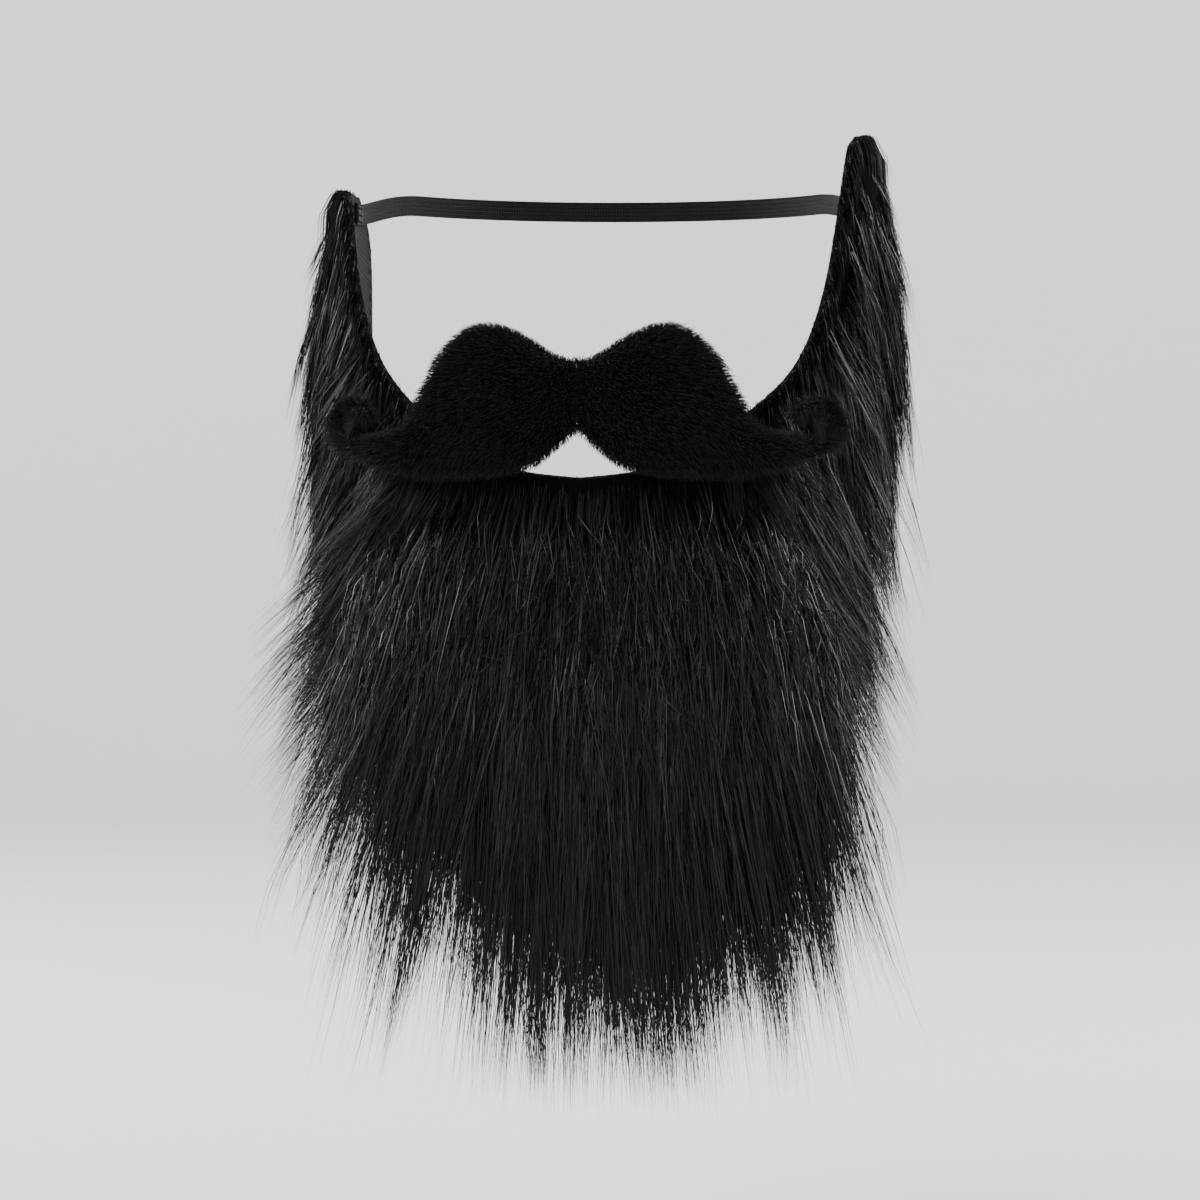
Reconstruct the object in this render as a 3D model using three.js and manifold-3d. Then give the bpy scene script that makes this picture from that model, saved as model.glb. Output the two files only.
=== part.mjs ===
// A costume full beard with a handlebar moustache, in the shape that it has when worn.
// Millimetres, +Z up, the face looks along -Y. The origin is the foremost point of the chin,
// on the inner face of the cloth, so that the wearer's chin sits there.
import * as THREE from "three";
import { mergeVertices } from "three/addons/utils/BufferGeometryUtils.js";
import Module from "manifold-3d";

const wasm = await Module();
wasm.setup();

// Driving dimensions of the worn form
const FACE_HALF_WIDTH = 73; // half the width over the ears
const EAR_DEPTH = 88; // from the chin's foremost point back to the widest point
const SIDEBURN_TOP = 116; // from the chin's foremost point up to the top of a sideburn
const RIGHT_RISE = 15; // how much higher the sideburn at +X reaches
const CHIN_DROP = 27; // from the chin's foremost point down to the cloth's lower edge

// Cloth, fur and clearances
const CLOTH = 2; // knitted ground of the fur cloth
const PATCH = 1.5; // the moustache's own cloth
const GAP = 0.3; // between one piece and the next
const SLIVER = 0.02; // details smaller than this are left out of a cut solid
const MEETING = 0.001; // vertices closer than this are the same
const COAT = 12; // depth of the combed fur on the cheeks
const CHIN_COAT = 17; // depth of the fur under the chin
const EDGE_COAT = 4.5; // depth of the fur where it is trimmed along the face

// The hanging part
const FALL_LENGTH = 142; // from the chin's foremost point down to the longest tips
const FALL_HALF_WIDTH = 72; // half the width of the hanging mass at its widest
const FALL_FRONT = 33; // how far it stands before the chin
const FALL_BACK = 40; // how far it reaches back under the jaw
const FALL_BOW = 16; // how far its sides lie behind its middle
const LOCK_WIDTH = 23; // width of a hanging lock
const LOCK_DEPTH = 10; // thickness of a hanging lock

// The moustache
const MOUSTACHE_REACH = 62; // from the parting to the middle of a curl, seen from the front
const MOUSTACHE_LEVEL = 56; // the lobes' middle above the chin's foremost point
const MOUSTACHE_HEIGHT = 39; // of a lobe at its tallest
const MOUSTACHE_DEPTH = 11; // thickness of a lobe
const MOUSTACHE_LIFT = 12.5; // how far the curls are held off the skin by the beard's fur
const CURL_RADIUS = 6.3; // middle line of the curl where the tail runs into it
const CURL_TURNS = 0.75;
const PARTING = 0.8; // between the two lobes

// The elastic that holds the beard on
const ELASTIC_WIDTH = 6;
const ELASTIC_THICKNESS = 1.2;
const ELASTIC_RISE = 5; // how far it climbs from the sideburns to its highest point

// Fineness of the facets
const BAND_STEPS = 22; // on each side of the middle
const ACROSS_STEPS = 6;
const RING_SIDES = 10;
const LOCK_SIDES = 5;
const LOCK_RINGS = 4;

const RIGHT_ANGLE = 90;

// The head inside the beard: a stack of ellipses. level is a share of SIDEBURN_TOP above the
// origin and of CHIN_DROP below it, width of FACE_HALF_WIDTH, and front of EAR_DEPTH.
const headSections = [
  { level: -1.4, width: 0.48, front: 0.44 },
  { level: -1.0, width: 0.6, front: 0.28 },
  { level: -0.8, width: 0.69, front: 0.14 },
  { level: -0.45, width: 0.78, front: 0.04 },
  { level: 0.0, width: 0.84, front: 0.0 },
  { level: 0.2, width: 0.88, front: -0.01 },
  { level: 0.4, width: 0.93, front: -0.06 },
  { level: 0.62, width: 0.98, front: -0.08 },
  { level: 1.0, width: 1.0, front: -0.06 },
  { level: 1.25, width: 1.0, front: -0.05 },
];

// The band of fur cloth from the middle of the chin to the top of a sideburn. Its face edge
// and its jaw edge are given by a turn round the head in degrees, 0 in front, and a level.
const bandSections = [
  { along: 0.0, faceTurn: 0, faceLevel: 0.29, jawTurn: 0, jawLevel: -1.0 },
  { along: 0.12, faceTurn: 13, faceLevel: 0.305, jawTurn: 17, jawLevel: -1.0 },
  { along: 0.26, faceTurn: 27, faceLevel: 0.345, jawTurn: 38, jawLevel: -0.95 },
  { along: 0.4, faceTurn: 40, faceLevel: 0.44, jawTurn: 60, jawLevel: -0.6 },
  { along: 0.5, faceTurn: 48, faceLevel: 0.5, jawTurn: 76, jawLevel: -0.1 },
  { along: 0.6, faceTurn: 56, faceLevel: 0.58, jawTurn: 88, jawLevel: 0.14 },
  { along: 0.7, faceTurn: 63, faceLevel: 0.69, jawTurn: 96, jawLevel: 0.33 },
  { along: 0.8, faceTurn: 68.5, faceLevel: 0.81, jawTurn: 101, jawLevel: 0.56 },
  { along: 0.9, faceTurn: 73, faceLevel: 0.92, jawTurn: 104, jawLevel: 0.8 },
  { along: 0.96, faceTurn: 76.5, faceLevel: 0.98, jawTurn: 102, jawLevel: 0.93 },
  { along: 1.0, faceTurn: 82, faceLevel: 1.0, jawTurn: 96, jawLevel: 1.0 },
];

// The hanging mass: drop is a share of FALL_LENGTH, width of FALL_HALF_WIDTH, front of
// FALL_FRONT and back of FALL_BACK.
const fallSections = [
  { drop: -0.09, width: 0.8, front: 0.34, back: 0.7 },
  { drop: 0.0, width: 0.9, front: 0.66, back: 0.82 },
  { drop: 0.1, width: 0.96, front: 0.86, back: 0.94 },
  { drop: 0.2, width: 0.98, front: 0.96, back: 0.94 },
  { drop: 0.32, width: 0.95, front: 1.0, back: 0.8 },
  { drop: 0.45, width: 0.88, front: 0.96, back: 0.6 },
  { drop: 0.58, width: 0.77, front: 0.84, back: 0.44 },
  { drop: 0.68, width: 0.62, front: 0.68, back: 0.32 },
  { drop: 0.76, width: 0.42, front: 0.48, back: 0.22 },
  { drop: 0.82, width: 0.2, front: 0.3, back: 0.12 },
];

// Rows of locks on the hanging mass. drop is where a row's locks part from the mass, spread
// the largest turn of a lock from the front in degrees, length a share of FALL_LENGTH, and
// flare how far the tips swing out, as a share of their length.
const fallRows = [
  { drop: 0.03, spread: 84, count: 8, length: 0.3, flare: 0.26 },
  { drop: 0.16, spread: 104, count: 10, length: 0.31, flare: 0.28 },
  { drop: 0.3, spread: 98, count: 9, length: 0.32, flare: 0.16 },
  { drop: 0.44, spread: 150, count: 11, length: 0.31, flare: 0.1 },
  { drop: 0.57, spread: 160, count: 11, length: 0.32, flare: 0.05 },
  { drop: 0.68, spread: 164, count: 10, length: 0.36, flare: 0.02 },
];

// Rows of locks on the fur coat. along and across are places on the band, length a share of
// FALL_LENGTH.
const chinRows = [
  { across: 0.34, reach: 0.4, count: 6, length: 0.2 },
];
const sideburnLocks = [
  { along: 0.88, across: 0.7, length: 0.26 },
  { along: 0.8, across: 0.36, length: 0.26 },
  { along: 0.76, across: 0.88, length: 0.28 },
  { along: 0.69, across: 0.56, length: 0.28 },
  { along: 0.63, across: 0.86, length: 0.3 },
  { along: 0.58, across: 0.4, length: 0.26 },
  { along: 0.52, across: 0.8, length: 0.3 },
];

// One half of the moustache from the parting outward. out is a share of MOUSTACHE_REACH,
// level of MOUSTACHE_LEVEL, height of MOUSTACHE_HEIGHT, depth of MOUSTACHE_DEPTH and lift of
// MOUSTACHE_LIFT.
const lobeSections = [
  { out: 0.0, level: 1.01, height: 0.49, depth: 0.6, lift: 0.0 },
  { out: 0.08, level: 0.985, height: 0.63, depth: 0.85, lift: 0.0 },
  { out: 0.2, level: 0.98, height: 0.87, depth: 0.98, lift: 0.06 },
  { out: 0.33, level: 1.0, height: 0.99, depth: 1.0, lift: 0.18 },
  { out: 0.44, level: 0.995, height: 0.99, depth: 1.0, lift: 0.24 },
  { out: 0.52, level: 0.968, height: 0.91, depth: 0.98, lift: 0.3 },
  { out: 0.6, level: 0.92, height: 0.77, depth: 0.92, lift: 0.4 },
  { out: 0.67, level: 0.85, height: 0.56, depth: 0.86, lift: 0.54 },
  { out: 0.74, level: 0.79, height: 0.35, depth: 0.8, lift: 0.7 },
  { out: 0.84, level: 0.779, height: 0.27, depth: 0.72, lift: 0.88 },
  { out: 0.94, level: 0.792, height: 0.2, depth: 0.64, lift: 0.98 },
];

// Outline of the moustache's cloth: half its height, as a share of MOUSTACHE_HEIGHT.
const patchSections = [
  { out: 0.0, level: 1.01, height: 0.36 },
  { out: 0.2, level: 0.99, height: 0.7 },
  { out: 0.36, level: 1.0, height: 0.8 },
  { out: 0.5, level: 0.97, height: 0.66 },
  { out: 0.62, level: 0.9, height: 0.4 },
  { out: 0.7, level: 0.83, height: 0.2 },
];
const PATCH_ON_BEARD = [0.38, 0.5]; // where the moustache's cloth climbs onto the beard's

const radians = (degrees) => (degrees * Math.PI) / 180;
const clamp = (value, low, high) => Math.min(Math.max(value, low), high);
const mix = (a, b, t) => a + (b - a) * t;
const smooth = (low, high, value) => {
  const t = clamp((value - low) / (high - low), 0, 1);
  return t * t * (3 - 2 * t);
};

// A fixed pattern of small differences between -0.5 and 0.5.
const vary = (seed) => {
  const wave = Math.sin(seed * 127.1 + 11.7) * 4375.8545;
  return wave - Math.floor(wave) - 0.5;
};

// A column of a table at a place between its rows, on a smooth curve through them.
function sample(rows, key, place, column) {
  const last = rows.length - 1;
  const found = rows.findIndex((row) => row[key] >= place);
  const i = clamp(found < 0 ? last : found, 1, last);
  const [a, b] = [rows[i - 1], rows[i]];
  const t = clamp((place - a[key]) / (b[key] - a[key]), 0, 1);
  const slope = (row, next) =>
    row && next ? (next[column] - row[column]) / (next[key] - row[key]) : undefined;
  const step = b[key] - a[key];
  const own = slope(a, b);
  const before = slope(rows[i - 2], a) ?? own;
  const after = slope(b, rows[i + 1]) ?? own;
  const [m0, m1] = [((before + own) / 2) * step, ((own + after) / 2) * step];
  const [t2, t3] = [t * t, t * t * t];
  return (
    (2 * t3 - 3 * t2 + 1) * a[column] +
    (t3 - 2 * t2 + t) * m0 +
    (3 * t2 - 2 * t3) * b[column] +
    (t3 - t2) * m1
  );
}

// The height of a level, in millimetres.
const heightOf = (level) => level * (level > 0 ? SIDEBURN_TOP : CHIN_DROP);
const levelOf = (z) => z / (z > 0 ? SIDEBURN_TOP : CHIN_DROP);

// A point of the head's surface at a turn in degrees and a height.
function onHead(turn, z) {
  const level = levelOf(z);
  const halfWidth = FACE_HALF_WIDTH * sample(headSections, "level", level, "width");
  const front = EAR_DEPTH * sample(headSections, "level", level, "front");
  const angle = radians(turn);
  return new THREE.Vector3(
    halfWidth * Math.sin(angle),
    EAR_DEPTH - (EAR_DEPTH - front) * Math.cos(angle),
    z,
  );
}

// The same point moved off the surface by an offset, along the surface's normal.
function offHead(turn, z, offset) {
  const step = 0.5;
  const across = onHead(turn + step, z).sub(onHead(turn - step, z));
  const up = onHead(turn, z + step).sub(onHead(turn, z - step));
  const normal = across.cross(up).normalize();
  return onHead(turn, z).addScaledVector(normal, offset);
}

// A point off the head given by its distance from the middle plane instead of a turn.
function offFace(x, z, offset) {
  const level = levelOf(z);
  const halfWidth = FACE_HALF_WIDTH * sample(headSections, "level", level, "width");
  const turn = (Math.asin(clamp(x / (halfWidth + offset), -1, 1)) * 180) / Math.PI;
  return offHead(turn, z, offset);
}

// A point of the beard's band: along from -1 to 1, across from 0 at the face to 1 at the jaw.
function onBand(along, across, offset) {
  const row = (column) => sample(bandSections, "along", Math.abs(along), column);
  const turn = mix(row("faceTurn"), row("jawTurn"), across) * Math.sign(along);
  const z = mix(heightOf(row("faceLevel")), heightOf(row("jawLevel")), across);
  const rise = along > 0 ? RIGHT_RISE * smooth(0.5, 1, levelOf(z)) : 0;
  return offHead(turn, z + rise, offset);
}

// Depth of the fur coat at a place on the band.
function coatDepth(along, across) {
  const body = mix(CHIN_COAT, COAT, smooth(0.3, 0.62, Math.abs(along)));
  const top = mix(1, 0.55, smooth(0.86, 1, Math.abs(along)));
  const rim = mix(EDGE_COAT, body, smooth(0, 0.6, across));
  return rim * top * mix(1, 0.86, smooth(0.8, 1, across));
}

// A closed solid from vertices and triangles.
function solidFrom(points, triangles) {
  const geometry = new THREE.BufferGeometry();
  geometry.setAttribute(
    "position",
    new THREE.Float32BufferAttribute(points.flatMap((p) => [p.x, p.y, p.z]), 3),
  );
  geometry.setIndex(triangles);
  const merged = mergeVertices(geometry, MEETING);
  const made = new wasm.Manifold(
    new wasm.Mesh({
      numProp: 3,
      vertProperties: merged.attributes.position.array,
      triVerts: new Uint32Array(merged.index.array),
    }),
  );
  return made;
}

// A solid lofted through closed rings of equal count, capped at both ends.
function loft(rings) {
  const sides = rings[0].length;
  const points = rings.flat();
  const triangles = [];
  for (let r = 0; r + 1 < rings.length; r++) {
    for (let i = 0; i < sides; i++) {
      const next = (i + 1) % sides;
      const [a, b] = [r * sides + i, r * sides + next];
      const [c, d] = [a + sides, b + sides];
      triangles.push(a, b, d, a, d, c);
    }
  }
  const end = (rings.length - 1) * sides;
  for (let i = 1; i + 1 < sides; i++) {
    triangles.push(0, i + 1, i, end, end + i, end + i + 1);
  }
  return facingOut(points, triangles);
}

// The solid with its faces turned outward, whichever way its rings ran.
function facingOut(points, triangles) {
  const made = solidFrom(points, triangles);
  if (made.volume() > 0) return made;
  const turned = [];
  for (let i = 0; i < triangles.length; i += 3) {
    turned.push(triangles[i], triangles[i + 2], triangles[i + 1]);
  }
  return solidFrom(points, turned);
}

// A curved slab: the ring at each step goes out along the lower face and back along the upper.
function slab(steps, across, pointAt) {
  const rings = [];
  for (let s = 0; s <= steps; s++) {
    const ring = [];
    for (let c = 0; c <= across; c++) ring.push(pointAt(s / steps, c / across, false));
    for (let c = across; c >= 0; c--) ring.push(pointAt(s / steps, c / across, true));
    rings.push(ring);
  }
  return slabOf(rings);
}

// As loft, but its end caps are strips between the two faces, which need not be flat. Both
// faces are split along the same diagonals, so that one slab lies evenly on another.
function slabOf(rings) {
  const sides = rings[0].length;
  const points = rings.flat();
  const triangles = [];
  const end = (rings.length - 1) * sides;
  for (let r = 0; r + 1 < rings.length; r++) {
    for (let i = 0; i < sides; i++) {
      const next = (i + 1) % sides;
      const [a, b] = [r * sides + i, r * sides + next];
      const [c, d] = [a + sides, b + sides];
      if (i < sides / 2) triangles.push(a, b, d, a, d, c);
      else triangles.push(a, b, c, b, d, c);
    }
  }
  for (let i = 0; i + 1 < sides / 2; i++) {
    const [a, b] = [i, i + 1];
    const [c, d] = [sides - 1 - i, sides - 2 - i];
    triangles.push(a, d, b, a, c, d, end + a, end + b, end + d, end + a, end + d, end + c);
  }
  return facingOut(points, triangles);
}

// A stretch of the band between two offsets, from one step to another, its ends moved by a
// share of the band's length and its edges widened by a clearance. Slabs on one stretch share
// their facets.
function bandSlab(fromStep, toStep, lower, upper, endShift = 0, clearance = 0) {
  return slab(toStep - fromStep, ACROSS_STEPS, (s, c, outer) => {
    const shift = s === 0 ? -endShift : s === 1 ? endShift : 0;
    const along = clamp(mix(fromStep, toStep, s) / BAND_STEPS + shift, -1, 1);
    const across = mix(-clearance / CHIN_DROP, 1 + clearance / CHIN_DROP, c);
    const offset = outer ? upper(along, clamp(across, 0, 1)) : lower;
    return onBand(along, across, offset);
  });
}

// The head itself as a solid, grown by an offset, to clear what lies inside the beard.
function headForm(offset) {
  const levels = 14;
  const lowest = -CHIN_DROP * 1.4;
  const highest = SIDEBURN_TOP * 1.2;
  const rings = [];
  for (let i = 0; i <= levels; i++) {
    const z = mix(lowest, highest, i / levels);
    const ring = [];
    for (let turn = 0; turn < 360; turn += 7.5) ring.push(offHead(turn, z, offset));
    rings.push(ring);
  }
  return loft(rings);
}

// A hanging lock: it leaves its root along start, bends down under its weight and ends thin.
function lock({ root, start, length, width, depth, seed, grow }) {
  const down = new THREE.Vector3(0, 0, -1);
  const side = new THREE.Vector3().crossVectors(start, down);
  if (side.lengthSq() < 1e-6) side.set(1, 0, 0);
  side.normalize();
  const out = new THREE.Vector3().crossVectors(down, side).normalize();
  const rings = [];
  const bendIn = vary(seed) * 0.12;
  const drift = vary(seed + 3.3) * 0.14;
  for (let k = 0; k <= LOCK_RINGS; k++) {
    const t = k / LOCK_RINGS;
    const centre = root
      .clone()
      .addScaledVector(start, length * t * (1 - 0.5 * t))
      .addScaledVector(down, length * 0.5 * t * t)
      .addScaledVector(out, length * bendIn * t * t)
      .addScaledVector(side, length * drift * t * t);
    if (k === 0) centre.addScaledVector(start, -grow);
    if (k === LOCK_RINGS) centre.addScaledVector(down, grow);
    const full = Math.sqrt(1 - t) * (0.5 + 1.1 * t) + 0.02;
    const ring = [];
    for (let i = 0; i < LOCK_SIDES; i++) {
      const a = (i / LOCK_SIDES) * 2 * Math.PI;
      ring.push(
        centre
          .clone()
          .addScaledVector(side, ((width / 2) * full + grow) * Math.cos(a))
          .addScaledVector(out, ((depth / 2) * full + grow) * Math.sin(a)),
      );
    }
    rings.push(ring);
  }
  return loft(rings);
}

// The main body of a cut solid, without slivers and loose ends. Vertices that nearly meet are
// made one before the bodies are told apart.
function largest(made) {
  const mesh = made.simplify(SLIVER).getMesh();
  const points = [];
  for (let i = 0; i < mesh.numVert; i++) {
    points.push(new THREE.Vector3(...mesh.vertProperties.subarray(i * 3, i * 3 + 3)));
  }
  const bodies = solidFrom(points, [...mesh.triVerts]).decompose();
  return bodies.reduce((a, b) => (a.volume() > b.volume() ? a : b));
}

// The elastic behind the head, from the inside of one sideburn to the other.
function elasticBand() {
  const firstTurn = 86;
  const steps = 40;
  const inner = -GAP - ELASTIC_THICKNESS;
  const root = SIDEBURN_TOP - 0.9 * ELASTIC_WIDTH;
  const rings = [];
  for (let i = 0; i <= steps; i++) {
    const turn = mix(firstTurn, 360 - firstTurn, i / steps);
    const fromEnd = Math.min(turn, 360 - turn) - firstTurn;
    const z = root + ELASTIC_RISE * smooth(4, 38, fromEnd);
    rings.push([
      offHead(turn, z - ELASTIC_WIDTH / 2, inner),
      offHead(turn, z + ELASTIC_WIDTH / 2, inner),
      offHead(turn, z + ELASTIC_WIDTH / 2, -GAP),
      offHead(turn, z - ELASTIC_WIDTH / 2, -GAP),
    ]);
  }
  return loft(rings);
}

// The middle line of one half of the moustache, with its height, depth and lift.
function moustacheSpine() {
  const spine = lobeSections.map((row) => ({
    x: row.out * MOUSTACHE_REACH,
    z: row.level * MOUSTACHE_LEVEL,
    half: (row.height * MOUSTACHE_HEIGHT) / 2,
    depth: row.depth * MOUSTACHE_DEPTH,
    lift: row.lift * MOUSTACHE_LIFT,
  }));
  const last = spine[spine.length - 1];
  const centre = { x: MOUSTACHE_REACH, z: last.z + CURL_RADIUS };
  const steps = Math.round(CURL_TURNS * 16);
  for (let i = 1; i <= steps; i++) {
    const t = i / steps;
    const angle = radians(-RIGHT_ANGLE + 360 * CURL_TURNS * t);
    const radius = CURL_RADIUS * (1 - 0.27 * t);
    spine.push({
      x: centre.x + radius * Math.cos(angle),
      z: centre.z + radius * Math.sin(angle),
      half: mix(last.half * 0.92, 1, t ** 1.3),
      depth: mix(last.depth, 2.5, t),
      lift: last.lift,
    });
  }
  return spine;
}

// One half of the moustache's fur, on the side given by sign, grown by a clearance if asked.
function moustacheHalf(sign, grow = 0) {
  const spine = moustacheSpine();
  const seat = PATCH + GAP;
  const rings = spine.map((place, i) => {
    const before = spine[Math.max(i - 1, 0)];
    const after = spine[Math.min(i + 1, spine.length - 1)];
    const inCurl = i >= lobeSections.length;
    const along = new THREE.Vector2(inCurl ? after.x - before.x : 1, inCurl ? after.z - before.z : 0);
    along.normalize();
    const ring = [];
    for (let k = 0; k < RING_SIDES; k++) {
      const a = (k / RING_SIDES) * 2 * Math.PI;
      const up = Math.cos(a) * (place.half + grow);
      const x = Math.max(place.x - along.y * up, i < 2 ? PARTING / 2 - grow : PARTING / 2);
      const z = place.z + along.x * up;
      const offset = place.lift + seat + place.depth / 2 + Math.sin(a) * (place.depth / 2 + grow);
      ring.push(offFace(sign * x, z, offset));
    }
    return ring;
  });
  return loft(rings);
}

// The moustache's cloth: it lies on the lip and its ends lie on the beard's cloth.
function moustachePatch(grow = 0) {
  const reach = patchSections[patchSections.length - 1].out;
  return slab(28, 6, (s, c, outer) => {
    const signed = mix(-reach, reach, s);
    const out = Math.abs(signed);
    const row = (column) => sample(patchSections, "out", out, column);
    const half = (row("height") * MOUSTACHE_HEIGHT) / 2 + grow;
    const z = row("level") * MOUSTACHE_LEVEL + mix(-half, half, c);
    const step = (CLOTH + GAP) * smooth(PATCH_ON_BEARD[0], PATCH_ON_BEARD[1], out);
    const offset = step + (outer ? PATCH + grow : -grow);
    const x = signed * (MOUSTACHE_REACH + grow / reach);
    return offFace(x, z, offset);
  });
}

// What the beard's fur keeps clear of where the moustache lies over it.
function moustacheRoom() {
  return wasm.Manifold.union([
    moustacheHalf(-1, GAP),
    moustacheHalf(1, GAP),
    moustachePatch(GAP),
  ]);
}

// Locks on the chin's coat.
function chinLocks(grow) {
  return chinRows.flatMap((row, r) =>
    Array.from({ length: row.count }, (_, i) => {
      const along = row.reach * ((2 * i) / (row.count - 1) - 1) || 1e-6;
      const seed = 17 * r + i;
      const depth = coatDepth(along, row.across) * 0.55 + CLOTH + GAP;
      const root = onBand(along, row.across, depth);
      const outer = onBand(along, row.across, depth + 1);
      const normal = outer.sub(root).normalize();
      const start = normal.multiplyScalar(0.55).add(new THREE.Vector3(0, 0, -1)).normalize();
      const length = FALL_LENGTH * row.length * (1 + 0.3 * vary(seed));
      return lock({ root, start, length, width: LOCK_WIDTH, depth: LOCK_DEPTH, seed, grow });
    }),
  );
}

// Locks on one sideburn.
function sideLocks(sign) {
  return sideburnLocks.map((row, i) => {
    const seed = 61 + i + sign * 7;
    const depth = coatDepth(row.along, row.across) * 0.5 + CLOTH + GAP;
    const root = onBand(sign * row.along, row.across, depth);
    const normal = onBand(sign * row.along, row.across, depth + 1).sub(root).normalize();
    const start = normal.multiplyScalar(0.45).add(new THREE.Vector3(0, 0, -1)).normalize();
    const length = FALL_LENGTH * row.length * (1 + 0.2 * vary(seed));
    const width = LOCK_WIDTH * 0.85;
    return lock({ root, start, length, width, depth: LOCK_DEPTH, seed, grow: 0 });
  });
}

// A point on the hanging mass at a drop and a turn in degrees, 0 in front. The mass bows round
// the jaw, so its sides lie further back than its middle.
function onFall(drop, turn, grow = 0) {
  const row = (column) => sample(fallSections, "drop", drop, column);
  const halfWidth = FALL_HALF_WIDTH * row("width") + grow;
  const front = -FALL_FRONT * row("front") - grow;
  const back = FALL_BACK * row("back") + grow;
  const angle = radians(turn);
  const middle = (front + back) / 2;
  const x = halfWidth * Math.sin(angle);
  const bow = FALL_BOW * (x / FALL_HALF_WIDTH) ** 2;
  const y = middle - ((back - front) / 2) * Math.cos(angle) + bow;
  return new THREE.Vector3(x, y, -FALL_LENGTH * drop);
}

// The body of the hanging mass.
function fallBody(grow) {
  const steps = 10;
  const sides = 20;
  const first = fallSections[0].drop;
  const last = fallSections[fallSections.length - 1].drop;
  const rings = [];
  for (let s = 0; s <= steps; s++) {
    const ring = [];
    for (let i = 0; i < sides; i++) {
      ring.push(onFall(mix(first, last, s / steps), (i / sides) * 360, grow));
    }
    rings.push(ring);
  }
  return loft(rings);
}

// Locks on the hanging mass, its lowest row forming the ragged end.
function fallLocks(grow) {
  return fallRows.flatMap((row, r) =>
    Array.from({ length: row.count }, (_, i) => {
      const seed = 101 + 23 * r + i;
      const share = (2 * i) / (row.count - 1) - 1;
      const turn = row.spread * share + 5 * vary(seed + 9);
      const drop = row.drop + 0.03 * vary(seed);
      const root = onFall(drop, turn, -LOCK_DEPTH / 2);
      const away = new THREE.Vector3(Math.sin(radians(turn)), -Math.cos(radians(turn)), 0);
      const start = away
        .multiplyScalar(row.flare * 2 * (0.7 + 0.6 * Math.abs(share)))
        .add(new THREE.Vector3(0, 0, -1))
        .normalize();
      const nearMiddle = 1 - 0.32 * share * share;
      const length = FALL_LENGTH * row.length * nearMiddle * (1 + 0.16 * vary(seed + 5));
      return lock({ root, start, length, width: LOCK_WIDTH, depth: LOCK_DEPTH, seed, grow });
    }),
  );
}

const CHEEK_JOIN = 10; // the band's step where the chin's fur ends and a sideburn's begins
const seamHalf = GAP / 2 / (FACE_HALF_WIDTH + EAR_DEPTH);
const coatTop = (along, across) => CLOTH + GAP + coatDepth(along, across);
const overCloth = bandSlab(-BAND_STEPS, BAND_STEPS, -GAP, () => CLOTH + 2 * GAP, 0, 2 * GAP);
const head = headForm(CLOTH + 4 * GAP).add(overCloth);
const moustacheSpace = moustacheRoom();

// The chin's fur with the hanging mass, grown by a clearance to make room for it.
function chinMass(grow) {
  const top = (along, across) => coatTop(along, across) + grow;
  const inner = CLOTH + GAP - grow;
  const coat = bandSlab(-CHEEK_JOIN, CHEEK_JOIN, inner, top, grow ? seamHalf : -seamHalf, grow);
  const hanging = [...chinLocks(grow), fallBody(grow), ...fallLocks(grow)];
  return wasm.Manifold.union(hanging).subtract(head).add(coat);
}

// A sideburn's fur, cut clear of the chin's.
function sideburnFur(sign, chinRoom) {
  const [from, to] = sign > 0 ? [CHEEK_JOIN, BAND_STEPS] : [-BAND_STEPS, -CHEEK_JOIN];
  const coat = bandSlab(from, to, CLOTH + GAP, coatTop, -seamHalf);
  const locks = wasm.Manifold.union(sideLocks(sign)).subtract(head);
  return largest(coat.add(locks).subtract(moustacheSpace).subtract(chinRoom));
}

const grey = (value) => new THREE.Color(value, value * 1.03, value * 1.1);
const materials = {
  fur: new THREE.MeshStandardMaterial({ color: grey(0.012), roughness: 0.55, metalness: 0 }),
  cloth: new THREE.MeshStandardMaterial({ color: grey(0.02), roughness: 0.95, metalness: 0 }),
  elastic: new THREE.MeshStandardMaterial({ color: grey(0.016), roughness: 0.8, metalness: 0 }),
};

// A named mesh of a solid.
function piece(name, solid, material) {
  const mesh = solid.getMesh();
  const geometry = new THREE.BufferGeometry();
  const position = new Float32Array(mesh.numVert * 3);
  for (let i = 0; i < mesh.numVert; i++) {
    const from = i * mesh.numProp;
    position.set(mesh.vertProperties.subarray(from, from + 3), i * 3);
  }
  geometry.setAttribute("position", new THREE.BufferAttribute(position, 3));
  geometry.setIndex(new THREE.BufferAttribute(mesh.triVerts, 1));
  geometry.computeVertexNormals();
  const made = new THREE.Mesh(geometry, material);
  made.name = name;
  return made;
}

const backing = bandSlab(-BAND_STEPS, BAND_STEPS, 0, () => CLOTH);
const chin = largest(chinMass(0).subtract(moustacheSpace));
const chinRoom = chinMass(GAP);

const beard = new THREE.Group();
beard.add(
  piece("beard_backing", backing, materials.cloth),
  piece("chin_fur", chin, materials.fur),
  piece("sideburn_fur_left", sideburnFur(-1, chinRoom), materials.fur),
  piece("sideburn_fur_right", sideburnFur(1, chinRoom), materials.fur),
  piece("moustache_backing", moustachePatch(), materials.cloth),
  piece("moustache_fur_left", moustacheHalf(-1), materials.fur),
  piece("moustache_fur_right", moustacheHalf(1), materials.fur),
  piece("elastic_band", elasticBand(), materials.elastic),
);

export default beard;
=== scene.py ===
import math

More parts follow.
